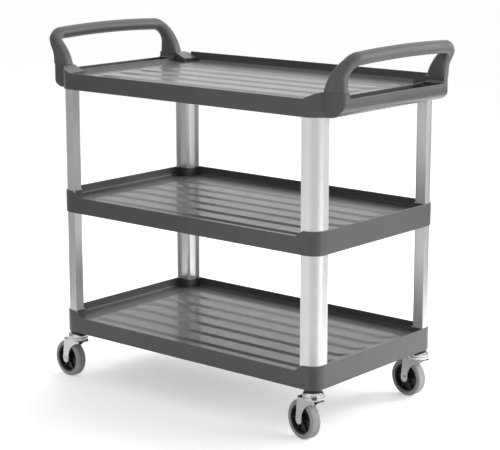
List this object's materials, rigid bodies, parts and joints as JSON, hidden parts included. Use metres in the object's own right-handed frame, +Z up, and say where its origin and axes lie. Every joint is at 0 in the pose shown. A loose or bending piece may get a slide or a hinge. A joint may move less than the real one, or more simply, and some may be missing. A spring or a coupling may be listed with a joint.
{
  "type": "service cart",
  "caption": "Moulded plastic service cart with open tray shelves on aluminium corner uprights, arched end handles and swivel casters.",
  "frame": {"origin": "centre of the footprint, on the floor", "axes": "+X along the cart towards the right handle, +Y from the low front lips to the back, +Z up"},
  "size_m": [1.032, 0.508, 0.96],
  "materials": {
    "moulded_shelf": "charcoal, fine satin texture",
    "moulded_handle": "charcoal, fine satin texture",
    "upright_aluminium": "satin anodised",
    "zinc_steel": "bright zinc plated",
    "zinc_fastener": "zinc plated",
    "bearing_steel": "polished",
    "black_plastic": "black, slightly glossy",
    "grey_tyre": "grey non-marking rubber"
  },
  "bodies": {
    "cart": {"top_shelf": "moulded_shelf", "middle_shelf": "moulded_shelf", "bottom_shelf": "moulded_shelf", "upper_upright_front_left": "upright_aluminium", "upper_upright_front_right": "upright_aluminium", "upper_upright_back_left": "upright_aluminium", "upper_upright_back_right": "upright_aluminium", "lower_upright_front_left": "upright_aluminium", "lower_upright_front_right": "upright_aluminium", "lower_upright_back_left": "upright_aluminium", "lower_upright_back_right": "upright_aluminium", "handle_left": "moulded_handle", "handle_right": "moulded_handle", "handle_screws": "zinc_fastener", "front_left_stem_socket": "black_plastic", "front_left_stem": "zinc_steel", "front_left_dust_ring": "black_plastic", "front_left_top_cup": "zinc_steel", "front_right_stem_socket": "black_plastic", "front_right_stem": "zinc_steel", "front_right_dust_ring": "black_plastic", "front_right_top_cup": "zinc_steel", "back_left_stem_socket": "black_plastic", "back_left_stem": "zinc_steel", "back_left_dust_ring": "black_plastic", "back_left_top_cup": "zinc_steel", "back_right_stem_socket": "black_plastic", "back_right_stem": "zinc_steel", "back_right_dust_ring": "black_plastic", "back_right_top_cup": "zinc_steel"},
    "front_left_caster_fork": {"front_left_balls": "bearing_steel", "front_left_fork": "zinc_steel", "front_left_axle_bolt": "zinc_fastener", "front_left_axle_nut": "zinc_fastener", "front_left_axle_sleeve": "zinc_steel"},
    "front_left_caster_wheel": {"front_left_wheel_core": "black_plastic", "front_left_tyre": "grey_tyre"},
    "front_right_caster_fork": {"front_right_balls": "bearing_steel", "front_right_fork": "zinc_steel", "front_right_axle_bolt": "zinc_fastener", "front_right_axle_nut": "zinc_fastener", "front_right_axle_sleeve": "zinc_steel"},
    "front_right_caster_wheel": {"front_right_wheel_core": "black_plastic", "front_right_tyre": "grey_tyre"},
    "back_left_caster_fork": {"back_left_balls": "bearing_steel", "back_left_fork": "zinc_steel", "back_left_axle_bolt": "zinc_fastener", "back_left_axle_nut": "zinc_fastener", "back_left_axle_sleeve": "zinc_steel"},
    "back_left_caster_wheel": {"back_left_wheel_core": "black_plastic", "back_left_tyre": "grey_tyre"},
    "back_right_caster_fork": {"back_right_balls": "bearing_steel", "back_right_fork": "zinc_steel", "back_right_axle_bolt": "zinc_fastener", "back_right_axle_nut": "zinc_fastener", "back_right_axle_sleeve": "zinc_steel"},
    "back_right_caster_wheel": {"back_right_wheel_core": "black_plastic", "back_right_tyre": "grey_tyre"}
  },
  "joints": [
    {"name": "front_left_swivel", "type": "hinge", "parent": "cart", "child": "front_left_caster_fork", "pos_m": [-0.408, -0.226, 0.12], "axis": [0, 0, 1], "continuous": true},
    {"name": "front_left_wheel_spin", "type": "hinge", "parent": "front_left_caster_fork", "child": "front_left_caster_wheel", "pos_m": [-0.44092, -0.2237, 0.05], "axis": [-0.0698, -0.9976, 0], "continuous": true},
    {"name": "front_right_swivel", "type": "hinge", "parent": "cart", "child": "front_right_caster_fork", "pos_m": [0.408, -0.226, 0.12], "axis": [0, 0, 1], "continuous": true},
    {"name": "front_right_wheel_spin", "type": "hinge", "parent": "front_right_caster_fork", "child": "front_right_caster_wheel", "pos_m": [0.37572, -0.21914, 0.05], "axis": [-0.2079, -0.9781, 0], "continuous": true},
    {"name": "back_left_swivel", "type": "hinge", "parent": "cart", "child": "back_left_caster_fork", "pos_m": [-0.408, 0.226, 0.12], "axis": [0, 0, 1], "continuous": true},
    {"name": "back_left_wheel_spin", "type": "hinge", "parent": "back_left_caster_fork", "child": "back_left_caster_wheel", "pos_m": [-0.44095, 0.22773, 0.05], "axis": [-0.0523, -0.9986, 0], "continuous": true},
    {"name": "back_right_swivel", "type": "hinge", "parent": "cart", "child": "back_right_caster_fork", "pos_m": [0.408, 0.226, 0.12], "axis": [0, 0, 1], "continuous": true},
    {"name": "back_right_wheel_spin", "type": "hinge", "parent": "back_right_caster_fork", "child": "back_right_caster_wheel", "pos_m": [0.37518, 0.22945, 0.05], "axis": [-0.1045, -0.9945, 0], "continuous": true}
  ]
}
